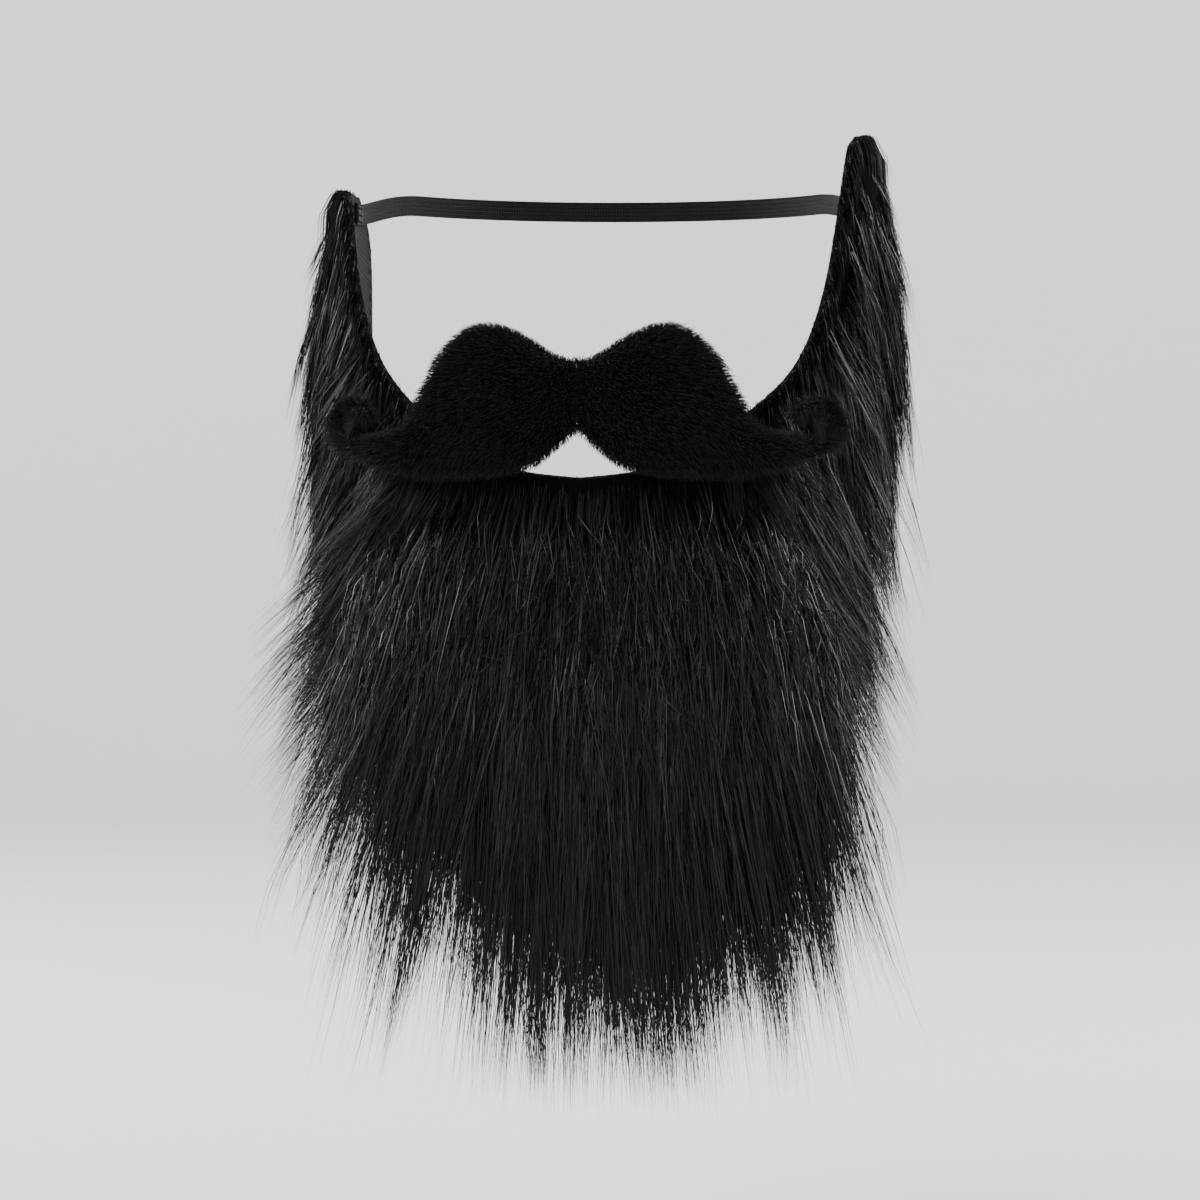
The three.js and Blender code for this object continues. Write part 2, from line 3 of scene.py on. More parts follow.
import bmesh
import bpy
import numpy as np
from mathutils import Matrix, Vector


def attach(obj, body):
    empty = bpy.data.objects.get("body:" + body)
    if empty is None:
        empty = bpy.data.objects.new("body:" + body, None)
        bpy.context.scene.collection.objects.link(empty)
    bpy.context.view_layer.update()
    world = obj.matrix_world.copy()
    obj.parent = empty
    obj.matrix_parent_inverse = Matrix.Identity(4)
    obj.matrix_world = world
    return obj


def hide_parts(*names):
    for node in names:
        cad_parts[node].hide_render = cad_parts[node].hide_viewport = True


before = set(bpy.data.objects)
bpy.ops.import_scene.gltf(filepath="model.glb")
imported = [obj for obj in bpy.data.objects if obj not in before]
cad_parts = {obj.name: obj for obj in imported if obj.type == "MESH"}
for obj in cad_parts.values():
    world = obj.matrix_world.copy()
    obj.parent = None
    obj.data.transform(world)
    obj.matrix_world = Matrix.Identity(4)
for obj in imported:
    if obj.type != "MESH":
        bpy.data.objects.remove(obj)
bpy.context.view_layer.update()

MM = 0.001
SEED = 51
random = np.random.default_rng(SEED)

# Driving sizes, the same as the solids'
FACE_HALF_WIDTH = 73  # half the width over the ears
EAR_DEPTH = 88  # from the chin's foremost point back to the widest point
SIDEBURN_TOP = 116  # from the chin's foremost point up to the top of a sideburn
RIGHT_RISE = 15  # how much higher the sideburn at +X reaches
CHIN_DROP = 27  # from the chin's foremost point down to the cloth's lower edge
CLOTH = 2  # knitted ground of the fur cloth
PATCH = 1.5  # the moustache's own cloth
GAP = 0.3  # between one piece and the next
COAT = 12  # depth of the combed fur on the cheeks
CHIN_COAT = 17  # depth of the fur under the chin
EDGE_COAT = 4.5  # depth of the fur where it is trimmed along the face
FALL_HALF_WIDTH = 72  # half the width of the hanging mass at its widest
FALL_BOW = 16  # how far its sides lie behind its middle
MOUSTACHE_REACH = 62  # from the parting to the middle of a curl, seen from the front
MOUSTACHE_LEVEL = 56  # the lobes' middle above the chin's foremost point
MOUSTACHE_HEIGHT = 39  # of a lobe at its tallest
MOUSTACHE_DEPTH = 11  # thickness of a lobe
MOUSTACHE_LIFT = 12.5  # how far the curls are held off the skin by the beard's fur
CURL_RADIUS = 6.3  # middle line of the curl where the tail runs into it
CURL_TURNS = 0.75
ELASTIC_WIDTH = 6
ELASTIC_THICKNESS = 1.2
ELASTIC_RISE = 5  # how far it climbs from the sideburns to its highest point
CHEEK_JOIN = 10 / 22  # how far along the band the chin's fur meets a sideburn's

# The head inside the beard, a stack of ellipses: level, width, front
HEAD = [
    (-1.4, 0.48, 0.44),
    (-1.0, 0.6, 0.28),
    (-0.8, 0.69, 0.14),
    (-0.45, 0.78, 0.04),
    (0.0, 0.84, 0.0),
    (0.2, 0.88, -0.01),
    (0.4, 0.93, -0.06),
    (0.62, 0.98, -0.08),
    (1.0, 1.0, -0.06),
    (1.25, 1.0, -0.05),
]

# The beard's band from its middle: along, turn and level of the face edge, the same of the jaw edge
BAND = [
    (0.0, 0, 0.29, 0, -1.0),
    (0.12, 13, 0.305, 17, -1.0),
    (0.26, 27, 0.345, 38, -0.95),
    (0.4, 40, 0.44, 60, -0.6),
    (0.5, 48, 0.5, 76, -0.1),
    (0.6, 56, 0.58, 88, 0.14),
    (0.7, 63, 0.69, 96, 0.33),
    (0.8, 68.5, 0.81, 101, 0.56),
    (0.9, 73, 0.92, 104, 0.8),
    (0.96, 76.5, 0.98, 102, 0.93),
    (1.0, 82, 1.0, 96, 1.0),
]

# One half of the moustache up to its curl: out, level, height, depth, lift
LOBE = [
    (0.0, 1.01, 0.49, 0.6, 0.0),
    (0.08, 0.985, 0.63, 0.85, 0.0),
    (0.2, 0.98, 0.87, 0.98, 0.06),
    (0.33, 1.0, 0.99, 1.0, 0.18),
    (0.44, 0.995, 0.99, 1.0, 0.24),
    (0.52, 0.968, 0.91, 0.98, 0.3),
    (0.6, 0.92, 0.77, 0.92, 0.4),
    (0.67, 0.85, 0.56, 0.86, 0.54),
    (0.74, 0.79, 0.35, 0.8, 0.7),
    (0.84, 0.779, 0.27, 0.72, 0.88),
    (0.94, 0.792, 0.2, 0.64, 0.98),
]

# The moustache's cloth: out, level, height
PATCH_OUTLINE = [
    (0.0, 1.01, 0.36),
    (0.2, 0.99, 0.7),
    (0.36, 1.0, 0.8),
    (0.5, 0.97, 0.66),
    (0.62, 0.9, 0.4),
    (0.7, 0.83, 0.2),
]
PATCH_ON_BEARD = (0.38, 0.5)  # how far out it steps up on to the beard's cloth

# The hanging hair's outer form, in millimetres: height, half width, front, back
FALL = [
    (34, 52, -9, 30),
    (24, 56, -13, 30),
    (13, 60, -17, 30),
    (0, 65, -22, 33),
    (-14, 69, -28.5, 37),
    (-28, 70.5, -32, 37.5),
    (-45, 68.5, -33, 32),
    (-64, 63, -31.5, 24),
    (-82, 55, -27.5, 17.5),
    (-97, 45, -22.5, 13),
    (-108, 36, -17, 9),
    (-125, 28, -12, 5),
    (-145, 20, -8, 2),
]

# Its lower end: place across it, end of the dense hair, end of the last wisps, their lean to +X
ENDS = [
    (-72, -14, -54, -0.42),
    (-63, -26, -72, -0.36),
    (-51, -38, -92, -0.3),
    (-36, -50, -120, -0.25),
    (-26, -62, -132, -0.2),
    (-16, -87, -140, -0.14),
    (-6, -99, -144, -0.07),
    (4, -105, -145, 0.0),
    (24, -106, -142, 0.05),
    (38, -103, -132, 0.11),
    (48, -97, -122, 0.16),
    (56, -88, -112, 0.23),
    (64, -70, -96, 0.27),
    (72, -42, -70, 0.35),
]

CURVE_PLACES = 1200
SLOPE_STEP = 0.5  # degrees or millimetres to each side of a place, for the head's slope there


def curve(rows, which):
    """A smooth curve through one column of a table, over its first column."""
    x = np.array([row[0] for row in rows], float)
    y = np.array([row[which] for row in rows], float)
    step = np.diff(x)
    slope = np.diff(y) / step
    before = np.concatenate([slope[:1], slope[:-1]])
    after = np.concatenate([slope[1:], slope[-1:]])
    places = np.linspace(x[0], x[-1], CURVE_PLACES)
    i = np.clip(np.searchsorted(x, places, "right") - 1, 0, len(step) - 1)
    t = (places - x[i]) / step[i]
    start = (before[i] + slope[i]) / 2 * step[i]
    end = (slope[i] + after[i]) / 2 * step[i]
    values = (2 * t**3 - 3 * t**2 + 1) * y[i] + (t**3 - 2 * t**2 + t) * start
    values += (3 * t**2 - 2 * t**3) * y[i + 1] + (t**3 - t**2) * end
    return lambda place: np.interp(place, places, values)


head_width, head_front = curve(HEAD, 1), curve(HEAD, 2)
face_turn, face_level = curve(BAND, 1), curve(BAND, 2)
jaw_turn, jaw_level = curve(BAND, 3), curve(BAND, 4)
fall_width, fall_front, fall_back = [curve(FALL[::-1], which) for which in (1, 2, 3)]
dense_end, wisp_end, lean_of = [curve(ENDS, which) for which in (1, 2, 3)]


def smooth(low, high, value):
    """0 up to low and 1 from high on, with an even passage between them."""
    t = np.clip((value - low) / (high - low), 0, 1)
    return t * t * (3 - 2 * t)


def mix(a, b, t):
    return a + (b - a) * t


def column(values):
    """The values as a column, so that each goes with every place along a path."""
    return np.asarray(values)[:, None]


def unit(vectors):
    return vectors / np.maximum(np.linalg.norm(vectors, axis=-1, keepdims=True), 1e-9)


def side_name(sign):
    return "left" if sign < 0 else "right"


def level_of(z):
    """A height as a share of the sideburns' height, or of the chin's drop below the origin."""
    return np.where(z > 0, z / SIDEBURN_TOP, z / CHIN_DROP)


def height_of(level):
    return np.where(level > 0, level * SIDEBURN_TOP, level * CHIN_DROP)


def on_head(turn, z):
    """A place on the head: turn in degrees from its front, and height."""
    level = level_of(z)
    half_width = FACE_HALF_WIDTH * head_width(level)
    front = EAR_DEPTH * head_front(level)
    angle = np.radians(turn)
    y = EAR_DEPTH - (EAR_DEPTH - front) * np.cos(angle)
    return np.stack([half_width * np.sin(angle), y, z], -1)


def head_normal(turn, z):
    across = on_head(turn + SLOPE_STEP, z) - on_head(turn - SLOPE_STEP, z)
    up = on_head(turn, z + SLOPE_STEP) - on_head(turn, z - SLOPE_STEP)
    return unit(np.cross(across, up))


def off_head(turn, z, offset):
    """A place off the head's skin by the offset."""
    turn, z = np.broadcast_arrays(np.asarray(turn, float), np.asarray(z, float))
    offset = np.asarray(offset, float)[..., None]
    return on_head(turn, z) + head_normal(turn, z) * offset


def face_place(x, z, offset):
    """The turn of the head at which a place off its skin has this x."""
    half_width = FACE_HALF_WIDTH * head_width(level_of(z))
    return np.degrees(np.arcsin(np.clip(x / (half_width + offset), -1, 1)))


def off_face(x, z, offset):
    return off_head(face_place(x, z, offset), z, offset)


def band_place(along, across):
    """Turn and height of a place on the beard's band."""
    size = np.abs(along)
    turn = mix(face_turn(size), jaw_turn(size), across) * np.sign(along)
    z = mix(height_of(face_level(size)), height_of(jaw_level(size)), across)
    rise = np.where(along > 0, RIGHT_RISE * smooth(0.5, 1, level_of(z)), 0)
    return turn, z + rise


def on_band(along, across, offset):
    turn, z = band_place(along, across)
    return off_head(turn, z, offset)


CHEEK_BLEND = (0.3, 0.62)  # along: from the chin's depth of fur to the cheek's
TOP_BLEND = (0.86, 1)  # along: where a sideburn's fur thins to its top
TOP_SHARE = 0.55
RIM_BLEND = (0, 0.6)  # across: from the trimmed edge to the full depth
JAW_BLEND = (0.8, 1)  # across: where the fur thins to the jaw's edge
JAW_SHARE = 0.86


def coat_depth(along, across):
    """How deep the fur is over the cloth."""
    size = np.abs(along)
    body = mix(CHIN_COAT, COAT, smooth(*CHEEK_BLEND, size))
    top = mix(1, TOP_SHARE, smooth(*TOP_BLEND, size))
    rim = mix(EDGE_COAT, body, smooth(*RIM_BLEND, across))
    return rim * top * mix(1, JAW_SHARE, smooth(*JAW_BLEND, across))


def on_fall(turn, z, share):
    """A place in the hanging hair: share is 0 on its middle line and 1 on its outer form."""
    front, back = fall_front(z), fall_back(z)
    middle = (front + back) / 2
    angle = np.radians(turn)
    x = fall_width(z) * np.sin(angle) * share
    bow = FALL_BOW * (x / FALL_HALF_WIDTH) ** 2
    y = middle - (back - front) / 2 * np.cos(angle) * share + bow
    return np.stack([x, y, np.broadcast_to(z, x.shape)], -1)


def clear_of_head(points, room):
    """The points, brought forward where they would be inside the head."""
    x, y, z = points[..., 0], points[..., 1], points[..., 2]
    lowest = HEAD[0][0] * CHIN_DROP
    height = np.clip(z, lowest, SIDEBURN_TOP)
    limit = on_head(face_place(x, height, 0), height)[..., 1] - room
    y = np.where((z > lowest) & (y > limit), limit, y)
    return np.stack([x, y, z], -1)


# Meshes

SHARP = math.radians(55)  # an edge that turns by more than this is crisp
HEAD_MIDDLE = (0, 60.0, 0)
TAPER = 2.2  # the higher, the longer a hair keeps its full width


def mesh_from(name, points, quads, triangles):
    """A mesh object from arrays, in millimetres."""
    mesh = bpy.data.meshes.new(name)
    quads = np.asarray(quads, np.int32).reshape(-1, 4)
    triangles = np.asarray(triangles, np.int32).reshape(-1, 3)
    corners = np.concatenate([quads.ravel(), triangles.ravel()])
    starts = np.concatenate(
        [
            np.arange(len(quads)) * 4,
            len(quads) * 4 + np.arange(len(triangles)) * 3,
        ]
    )
    mesh.vertices.add(len(points))
    mesh.vertices.foreach_set("co", (np.asarray(points) * MM).astype(np.float32).ravel())
    mesh.loops.add(len(corners))
    mesh.loops.foreach_set("vertex_index", corners.astype(np.int32))
    mesh.polygons.add(len(starts))
    mesh.polygons.foreach_set("loop_start", starts.astype(np.int32))
    mesh.update(calc_edges=True)
    mesh.validate()
    mesh.shade_smooth()
    made = bpy.data.objects.new(name, mesh)
    bpy.context.scene.collection.objects.link(made)
    return made


def finish_piece(piece, material, slot, *nodes):
    """Give a piece its material and its body, and hide the solids that it stands for. The slot is
    not used.
    """
    piece.data.materials.append(material)
    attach(piece, "root")
    if nodes:
        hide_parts(*nodes)


def hairs(name, paths, widths, lean):
    """Hairs as flat ribbons, broad side toward lean, that taper to a point."""
    count, places = paths.shape[:2]
    tangent = unit(np.gradient(paths, axis=1))
    side = unit(np.cross(tangent, lean[:, None]))
    half = side * widths[..., None] / 2
    body = np.stack([paths - half, paths + half], 2)[:, :-1].reshape(count, -1, 3)
    points = np.concatenate([body, paths[:, -1:]], 1)
    first = (np.arange(count) * points.shape[1])[:, None, None]
    ring = np.arange(places - 2) * 2
    quads = np.stack([ring, ring + 1, ring + 3, ring + 2], 1)[None] + first
    last = 2 * (places - 2)
    triangles = np.array([[[last, last + 1, last + 2]]]) + first
    return mesh_from(name, points.reshape(-1, 3), quads, triangles)


def outward_lean(paths, loose=0.6):
    """For each hair, a direction away from the head's upright middle, a little disturbed."""
    away = paths.mean(1) - HEAD_MIDDLE
    away[:, 2] = 0
    return unit(unit(away) + random.normal(0, loose, away.shape))


def tapered(count, places, width, tip=0.22):
    """Widths along each hair: full for most of its length and fine at the tip."""
    t = np.linspace(0, 1, places)
    shape = mix(1, tip, t**TAPER)
    each = random.uniform(0.75, 1.25, (count, 1))
    return width * each * shape[None]


def hair_piece(name, paths, width, tone, node):
    """Hair along the paths, in place of one of the fur solids."""
    widths = tapered(len(paths), paths.shape[1], width)
    piece = hairs(name, paths, widths, outward_lean(paths))
    finish_piece(piece, tone, "fur", node)


def grid_solid(name, lower, upper):
    """A closed skin between two grids of points with the same layout."""
    rows, columns = lower.shape[:2]
    points = np.concatenate([lower.reshape(-1, 3), upper.reshape(-1, 3)])
    index = np.arange(rows * columns).reshape(rows, columns)
    top = index + rows * columns
    quads = []

    def faces(grid, flip):
        corners = [grid[:-1, :-1], grid[1:, :-1], grid[1:, 1:], grid[:-1, 1:]]
        if flip:
            corners.reverse()
        quads.append(np.stack([c.ravel() for c in corners], 1))

    def wall(low, high, flip):
        corners = [low[:-1], low[1:], high[1:], high[:-1]]
        if flip:
            corners.reverse()
        quads.append(np.stack(corners, 1))

    faces(index, True)
    faces(top, False)
    wall(index[0], top[0], True)
    wall(index[-1], top[-1], False)
    wall(index[:, 0], top[:, 0], False)
    wall(index[:, -1], top[:, -1], True)
    return mesh_from(name, points, np.concatenate(quads), [])


def loft_solid(name, rings):
    """A closed skin through rings of points, with a fan on each end."""
    count, sides = rings.shape[:2]
    points = np.concatenate(
        [rings.reshape(-1, 3), rings[0].mean(0)[None], rings[-1].mean(0)[None]]
    )
    quads, triangles = [], []
    for r in range(count - 1):
        for i in range(sides):
            j = (i + 1) % sides
            a, b = r * sides + i, r * sides + j
            quads.append((a, b, b + sides, a + sides))
    start, end = count * sides, count * sides + 1
    last = (count - 1) * sides
    for i in range(sides):
        j = (i + 1) % sides
        triangles.append((start, j, i))
        triangles.append((end, last + i, last + j))
    return turned_out(mesh_from(name, points, quads, triangles))


def turned_out(piece):
    """The piece with its faces turned outward and its edges crisp."""
    work = bmesh.new()
    work.from_mesh(piece.data)
    bmesh.ops.recalc_face_normals(work, faces=work.faces)
    work.to_mesh(piece.data)
    work.free()
    piece.data.shade_smooth()
    piece.data.set_sharp_from_angle(angle=SHARP)
    return piece


# Materials

WAVE_PERIOD = 0.314  # of Blender's wave texture at a scale of 1


def new_material(name):
    """A new material and its shader."""
    material = bpy.data.materials.new(name)
    material.use_nodes = True
    return material, material.node_tree.nodes["Principled BSDF"]


def fibre(name, colour, roughness, shine, sheen):
    """Near-black fibre."""
    material, shader = new_material(name)
    shader.inputs["Base Color"].default_value = (*colour, 1)
    shader.inputs["Roughness"].default_value = roughness
    shader.inputs["Specular IOR Level"].default_value = shine
    shader.inputs["Sheen Weight"].default_value = sheen
    shader.inputs["Sheen Roughness"].default_value = 0.4
    return material


def woven(name, colour, pitch, across, relief_depth):
    """Black cloth with rows of loops: pitch along and across, in metres, over its UV map."""
    material, shader = new_material(name)
    nodes, links = material.node_tree.nodes, material.node_tree.links
    place = nodes.new("ShaderNodeUVMap")
    place.uv_map = "Cloth"
    waves = []
    for direction, size in (("X", pitch), ("Y", across)):
        wave = nodes.new("ShaderNodeTexWave")
        wave.bands_direction = direction
        wave.inputs["Scale"].default_value = WAVE_PERIOD / size
        wave.inputs["Distortion"].default_value = 0.6
        wave.inputs["Detail"].default_value = 2.0
        wave.inputs["Detail Scale"].default_value = 1.4
        links.new(place.outputs["UV"], wave.inputs["Vector"])
        waves.append(wave)
    loops = nodes.new("ShaderNodeMath")
    loops.operation = "MULTIPLY"
    links.new(waves[0].outputs["Fac"], loops.inputs[0])
    links.new(waves[1].outputs["Fac"], loops.inputs[1])
    # The colour follows the loops' height: darker in the hollows between them as painted shade,
    # lighter on their tops as painted highlight.
    painted_loop_shade = nodes.new("ShaderNodeValToRGB")
    painted_loop_shade.color_ramp.elements[0].color = (*[c * 0.45 for c in colour], 1)
    painted_loop_shade.color_ramp.elements[1].color = (*[c * 1.5 for c in colour], 1)
    relief = nodes.new("ShaderNodeBump")
    relief.inputs["Strength"].default_value = 0.65
    relief.inputs["Distance"].default_value = relief_depth
    links.new(loops.outputs["Value"], painted_loop_shade.inputs["Fac"])
    links.new(painted_loop_shade.outputs["Color"], shader.inputs["Base Color"])
    links.new(loops.outputs["Value"], relief.inputs["Height"])
    links.new(relief.outputs["Normal"], shader.inputs["Normal"])
    shader.inputs["Roughness"].default_value = 0.9
    shader.inputs["Specular IOR Level"].default_value = 0.12
    shader.inputs["Sheen Weight"].default_value = 0.04
    shader.inputs["Sheen Roughness"].default_value = 0.5
    return material


def cloth_uv(piece, u, v):
    """A UV map in metres from one u and one v for each vertex."""
    layer = piece.data.uv_layers.new(name="Cloth")
    index = np.zeros(len(piece.data.loops), np.int32)
    piece.data.loops.foreach_get("vertex_index", index)
    pairs = np.stack([u[index], v[index]], 1).astype(np.float32)
    layer.data.foreach_set("uv", pairs.ravel())


hair_tones = [
    fibre("long_hair", (0.0026, 0.0028, 0.0035), 0.42, 0.15, 0.0),
    fibre("long_hair_deep", (0.0015, 0.0016, 0.0020), 0.48, 0.11, 0.0),
    fibre("long_hair_grey", (0.0054, 0.0058, 0.0074), 0.40, 0.17, 0.0),
]
# The roots are darker than the hair and have no shine: painted shade for the depths of the fur
# between the hairs.
painted_shade_roots = fibre("hair_roots_painted_shade", (0.0012, 0.0012, 0.0015), 1.0, 0.02, 0.0)
pile_black = fibre("short_pile", (0.0026, 0.0027, 0.0033), 0.55, 0.12, 0.06)
thread_black = fibre("thread", (0.011, 0.011, 0.012), 0.5, 0.3, 0.0)
# Both cloths carry painted shade between their loops and painted highlight on them, from woven().
knit_black = woven("knitted_ground", (0.0066, 0.0068, 0.0077), 0.0013, 0.0011, 0.0004)
elastic_black = woven("woven_elastic", (0.0074, 0.0076, 0.0085), 0.0009, 0.0012, 0.0002)


# The long hair of the chin

LONG_PLACES = 6
LOCKS = 1120
HAIRS_IN_LOCK = 30
FREE_HAIRS = 4800
LOCK_WISPS = 0.15  # the share of locks that end beyond the dense hair
FREE_WISPS = 0.45  # the same share of the loose hairs
BEND = -12  # below this height the long hairs hang straight, fanned out
LAST_TIP = -145  # no tip hangs lower
ROOT_DEPTH = CLOTH * 0.6  # the hairs start inside the cloth
INSIDE_EDGES = (0.004, 0.99)  # across the band, the outermost places of the hairs' roots
CHIN_WIDTH = 0.84  # the head's width at the chin's height, as a share of FACE_HALF_WIDTH
LONG_REACH = 0.52  # how far along the band the long hairs have their roots
ROOT_LIFT = 20  # how far a long hair would rise straight off the cloth
HANGS_FROM = 0.42  # the share of its length from which a long hair follows the hanging form
DRAW_IN = (-55, -125)  # the heights between which the inner hairs draw toward the middle
SKIN_ROOM = 0.5  # between the hairs and the head
INNER_LOCKS = 0.3  # the share of locks that hang inside the outer form
FULL_LOCKS = 0.62  # the share of outer locks that reach the lower end; the others end higher
FULL_ENDS = -40  # the full locks end from this height down to the dense hair's end
GATHER = 0.85  # how far a lock's hairs draw together at its tip
LONG_WIDTH = 0.3
ROOTS_END = 0.995  # how far along the band the coat's dense foot reaches


def band_at(turn):
    """How far along the band a turn of the head is, on the band's middle line."""
    along = np.linspace(0, 1, 200)
    middle = (face_turn(along) + jaw_turn(along)) / 2
    return np.interp(np.abs(turn), middle, along) * np.sign(turn)


def long_paths(turn, share, root_across, tip, lean, wave, drawn_in):
    """Paths of long hairs. Each argument is an array with one entry for each hair."""
    count = len(turn)
    t = np.linspace(0, 1, LONG_PLACES)[None]
    held = on_fall(turn, np.full(count, float(BEND)), share)
    sideways = held[:, 0] / FACE_HALF_WIDTH / CHIN_WIDTH
    round_head = np.degrees(np.arctan2(sideways, (EAR_DEPTH - held[:, 1]) / EAR_DEPTH))
    along = np.clip(band_at(round_head), -LONG_REACH, LONG_REACH)
    root_turn, root_z = band_place(along, root_across)
    root = off_head(root_turn, root_z, np.full(count, ROOT_DEPTH))
    normal = head_normal(root_turn, root_z)
    z = column(root_z) + column(tip - root_z) * t
    upper = on_fall(column(turn), np.maximum(z, BEND), column(share))
    below = np.maximum(BEND - z, 0)
    swing = column(wave) * np.sin(math.pi * t * 1.9) * t
    x = upper[..., 0] + below * column(lean) + swing
    depth = column(share) * mix(1, column(drawn_in), smooth(*DRAW_IN, z))
    y = on_fall(column(turn), z, depth)[..., 1]
    hanging = np.stack([x, y, z], -1)
    leaving = root[:, None] + normal[:, None] * (ROOT_LIFT * t * (1.3 - t))[..., None]
    leaving[..., 2] = z
    hangs = smooth(0, HANGS_FROM, t)[..., None]
    return clear_of_head(mix(leaving, hanging, hangs), SKIN_ROOM)


def lock_places(count, wisps):
    """Turn, share, tip, lean, wave and inward draw of each lock."""
    inner = random.random(count) < INNER_LOCKS
    turn = np.degrees(np.arcsin(random.uniform(-1, 1, count))) + random.normal(0, 6, count)
    turn = np.where(inner, random.uniform(-180, 180, count), turn)
    share = random.uniform(0.7, 1.0, count) ** 0.6
    share = np.where(inner, random.uniform(0.02, 1, count), share)
    x = on_fall(turn, np.full(count, float(BEND)), share)[:, 0]
    lowest, last = dense_end(x), wisp_end(x)
    kind = random.random(count)
    wisp = kind < wisps
    short = (kind > FULL_LOCKS) & ~inner
    tip = mix(np.maximum(lowest, FULL_ENDS), lowest, random.random(count) ** 0.6)
    tip = tip + random.normal(4, 5, count)
    tip = np.where(wisp, mix(lowest, last, random.random(count) ** 1.1), tip)
    tip = np.where(short, np.maximum(random.uniform(-50, 6, count), lowest), tip)
    share = np.where(short, random.uniform(0.94, 1.03, count), share)
    wisp_fan = random.uniform(0.7, 1.15, count)
    dense_fan = random.uniform(0.3, 0.9, count)
    lean = lean_of(x) * np.where(wisp, wisp_fan, dense_fan)
    lean = lean + np.clip(random.normal(0, 0.05, count), -0.12, 0.12)
    wave = random.normal(0, 2.2, count)
    drawn_in = random.uniform(0, 1, count)
    return turn, share, tip, lean, wave, drawn_in


def root_places(turn, share, tip):
    """How far across the band each hair has its root: the outer ones start nearest the face."""
    ahead = (1 + np.cos(np.radians(turn)) * share) / 2
    across = 1 - ahead * random.random(len(turn)) ** 0.6
    nearest = np.clip((-62 - tip) / 75, 0, 0.9)  # the lowest tips belong to hairs of the jaw's edge
    return np.clip(np.maximum(across, nearest * random.random(len(turn))), *INSIDE_EDGES)


def lock_paths():
    """Paths of hairs in locks, which draw together toward their tips."""
    places = lock_places(LOCKS, LOCK_WISPS)
    turn, share, tip, lean, wave, drawn_in = (np.repeat(v, HAIRS_IN_LOCK) for v in places)
    count = len(turn)
    loose_turn = turn + random.normal(0, 4.4, count)
    loose_share = share + random.normal(0, 0.035, count)
    across = root_places(turn, share, tip)
    tip = tip + 10 - np.minimum(random.gamma(1.6, 8, count), 34)
    tip = np.maximum(tip, LAST_TIP + random.uniform(0, 10, count))
    lean = lean + random.normal(0, 0.016, count)
    wave = wave + random.normal(0, 0.5, count)
    loose = long_paths(loose_turn, loose_share, across, tip, lean, wave, drawn_in)
    drawn = long_paths(turn, share, across, tip, lean, wave, drawn_in)
    gather = GATHER * np.linspace(0, 1, LONG_PLACES)[None, :, None] ** 1.4
    return mix(loose, drawn, gather)


def free_paths():
    """Paths of single hairs between the locks."""
    turn, share, tip, lean, wave, drawn_in = lock_places(FREE_HAIRS, FREE_WISPS)
    tip = np.maximum(tip, LAST_TIP)
    across = root_places(turn, share, tip)
    share = share + np.abs(random.normal(0, 0.03, FREE_HAIRS))
    return long_paths(turn, share, across, tip, lean, wave, drawn_in)


def long_hair():
    """The hanging hair, shared out among the tones."""
    paths = np.concatenate([lock_paths(), free_paths()])
    paths = paths[random.permutation(len(paths))]
    parts = np.array_split(paths, len(hair_tones))
    for number, (part, tone) in enumerate(zip(parts, hair_tones), 1):
        hair_piece(f"chin_hair_{number}", part, LONG_WIDTH, tone, "chin_fur")


def chin_roots():
    """The dense inside of the hanging hair, which narrows to a foot and leans to +X."""
    top, narrows_from, foot, foot_share, foot_shift = 20, -20, -84, 0.2, 14
    turns = np.linspace(-180, 180, 97)[:-1]
    turn, z = np.meshgrid(turns, np.linspace(top, foot, 38))
    ragged = 0.03 * np.sin(turn * 0.35 + z * 0.05) + 0.025 * np.sin(turn * 0.83)
    low = smooth(narrows_from, foot, z)
    rings = on_fall(turn, z, (0.8 + ragged) * mix(1, foot_share, low))
    rings[..., 0] += foot_shift * low
    rings = clear_of_head(rings, CLOTH + 2)
    # The dense inside stands for real fur, coloured darker than the hair as painted shade.
    finish_piece(loft_solid("chin_roots", rings), painted_shade_roots, "fur", "chin_fur")


def coat_roots(name, start, end, node):
    """The dense foot of the coat on a stretch of the band."""
    columns, rows = np.linspace(start, end, 60), np.linspace(0.004, 0.992, 22)
    along, across = np.meshgrid(columns, rows, indexing="ij")
    depth = coat_depth(along, across) * mix(0.32, 0.6, smooth(0, 0.2, across))
    depth = depth * (1 + 0.12 * np.sin(along * 60 + across * 9) * np.sin(across * 21))
    depth = depth * mix(1, 0.3, smooth(0.9, 1, np.abs(along)))
    lower = on_band(along, across, np.full(along.shape, CLOTH + GAP / 2))
    upper = on_band(along, across, CLOTH + GAP + depth)
    piece = turned_out(grid_solid(name, lower, upper))
    # The coat's foot stands for real fur, coloured darker than the hair as painted shade.
    finish_piece(piece, painted_shade_roots, "fur", node)


# The shorter hair of the coat, on the chin, the cheeks and the sideburns

COAT_PLACES = 5
COAT_WIDTH = 0.28
JAW_WIDTH = 0.26
WILD_LOCKS = 0.14  # the share of the coat's locks that stray furthest sideways
NEAR_TOP = 0.9  # along the band, where the sideburns' tops begin
TOP_LOCKS = 0.22  # the share of a sideburn's locks that are moved there
SIDEBURN_END = 0.996
OVERLAP = (0.03, 0.02)  # how far the sideburns' and the chin's hair reach past the cheek join


